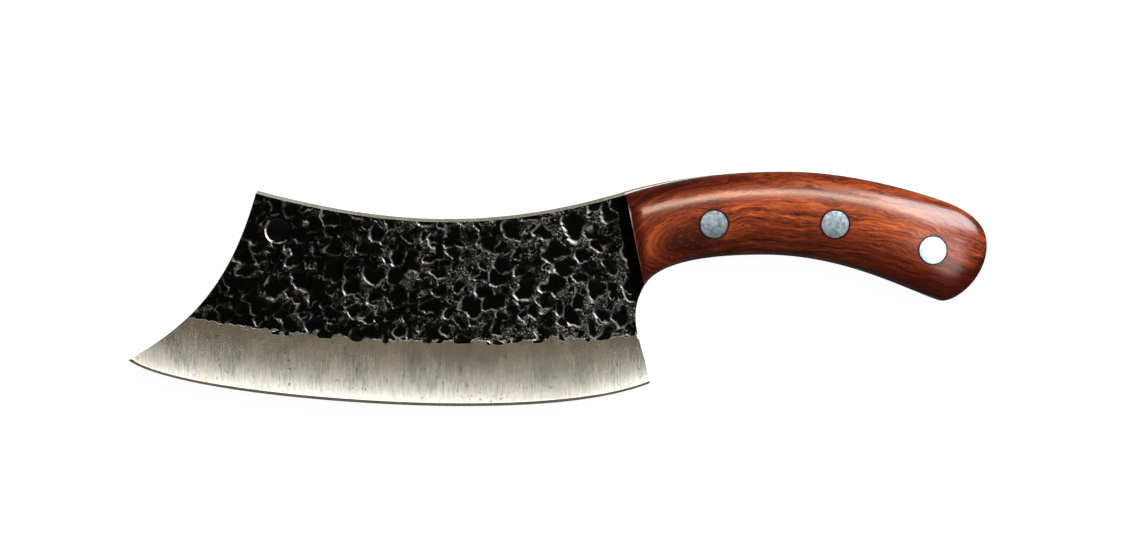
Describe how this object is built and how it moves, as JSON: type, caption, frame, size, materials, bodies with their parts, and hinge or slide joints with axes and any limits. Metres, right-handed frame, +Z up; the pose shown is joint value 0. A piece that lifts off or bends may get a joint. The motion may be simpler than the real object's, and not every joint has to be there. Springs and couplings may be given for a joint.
{
  "type": "meat cleaver",
  "caption": "Butcher's cleaver: a hand-forged curved blade with a bright ground bevel, a full tang, riveted wooden scales and a hanging hole in the point.",
  "frame": {"origin": "under the middle of the cleaver's box, on the surface it lies on", "axes": "it lies on its right side: +X along the blade from the point to the handle's butt, +Y across the blade from the cutting edge to the spine, +Z up out of the blade's left face"},
  "size_m": [0.3, 0.082, 0.0204],
  "materials": {
    "forged_steel": "black hammered forge scale, with a bright ground bevel and a polished spine",
    "scale_wood": "glossy oiled red-brown rosewood",
    "rivet_steel": "bare steel, ground flush and lightly worn"
  },
  "bodies": {
    "root": {"blade": "forged_steel", "scale_left": "scale_wood", "scale_right": "scale_wood", "rivet_front_pin": "rivet_steel", "rivet_front_tube": "rivet_steel", "rivet_middle_pin": "rivet_steel", "rivet_middle_tube": "rivet_steel", "rivet_rear_pin": "rivet_steel", "rivet_rear_tube": "rivet_steel"}
  },
  "joints": []
}
